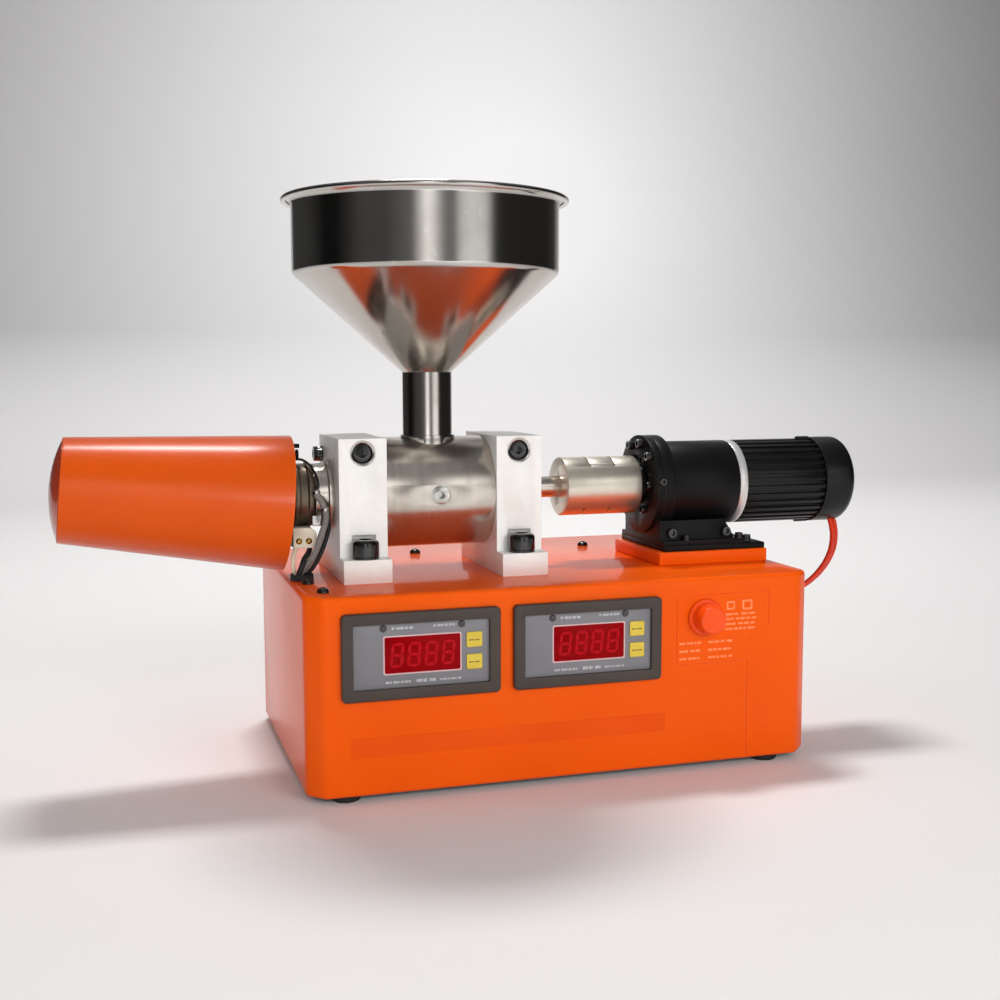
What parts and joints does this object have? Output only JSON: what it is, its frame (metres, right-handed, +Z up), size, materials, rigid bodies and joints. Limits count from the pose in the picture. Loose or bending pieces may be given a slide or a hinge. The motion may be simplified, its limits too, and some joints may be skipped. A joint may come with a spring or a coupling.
{
  "type": "filament extruder",
  "caption": "Bench-top filament extruder: orange control cabinet with panel meters, steel hopper on a feed housing between blocks, heated barrel under a conical cover, gearmotor drive.",
  "frame": {"origin": "centre of the machine's overall box, on the bench under its feet", "axes": "+X along the screw from the nozzle to the motor, +Y from the operator's side to the back, +Z up"},
  "size_m": [0.5377, 0.228, 0.3618],
  "materials": {
    "orange_paint": "satin orange powder coat",
    "cover_paint": "fine-textured orange powder coat",
    "black_steel": "black oxide",
    "satin_steel": "ground and satin",
    "turned_steel": "turned, fine grooves",
    "polished_steel": "polished",
    "champagne": "satin nickel",
    "band_steel": "heat tinted",
    "ceramic": "unglazed",
    "brass": "machined",
    "black_paint": "satin black",
    "plain_aluminium": "turned",
    "rubber_black": "matt",
    "bezel_plastic": "fine grain",
    "face_plastic": "matt grey",
    "window_red": "dark red filter",
    "key_yellow": "soft key",
    "knob_plastic": "moulded",
    "braid": "glass-fibre sleeve",
    "cable_black": "satin",
    "cream_insulation": "silicone",
    "lead_red": "vinyl"
  },
  "bodies": {
    "machine": {"cabinet": "orange_paint", "base_plate": "black_paint", "feet": "rubber_black", "cabinet_screws": "black_steel", "left_bezel": "bezel_plastic", "left_face": "face_plastic", "left_window": "window_red", "left_keys": "key_yellow", "right_bezel": "bezel_plastic", "right_face": "face_plastic", "right_window": "window_red", "right_keys": "key_yellow", "knob_collar": "knob_plastic", "left_block": "satin_steel", "right_block": "satin_steel", "block_screws": "black_steel", "feed_housing": "turned_steel", "housing_plug": "turned_steel", "throat_tube": "polished_steel", "hopper": "polished_steel", "hot_barrel": "turned_steel", "barrel_collar": "turned_steel", "heater_bands": "band_steel", "terminal_block": "ceramic", "nozzle": "brass", "heater_cover": "cover_paint", "cover_end": "cover_paint", "cover_ring": "black_paint", "cable_grommets": "rubber_black", "sleeved_cable": "braid", "black_cable": "cable_black", "cream_wire": "cream_insulation", "riser_block": "orange_paint", "motor_base": "black_paint", "motor_bracket": "black_paint", "bracket_bolts": "black_steel", "gearbox": "black_paint", "gearbox_ring": "plain_aluminium", "motor_body": "black_paint", "motor_cap": "black_paint", "motor_leads": "lead_red"},
    "drive": {"extruder_screw": "turned_steel", "drive_shafts": "turned_steel", "shaft_coupling": "champagne"},
    "knob": {"speed_knob": "knob_plastic"}
  },
  "joints": [
    {"name": "drive_turn", "type": "hinge", "parent": "machine", "child": "drive", "pos_m": [0.08031, -0.0107, 0.175], "axis": [1, 0, 0], "continuous": true},
    {"name": "knob_turn", "type": "hinge", "parent": "machine", "child": "knob", "pos_m": [0.12171, -0.109, 0.0983], "axis": [0, -1, 0], "range_deg": [-150, 150]}
  ]
}
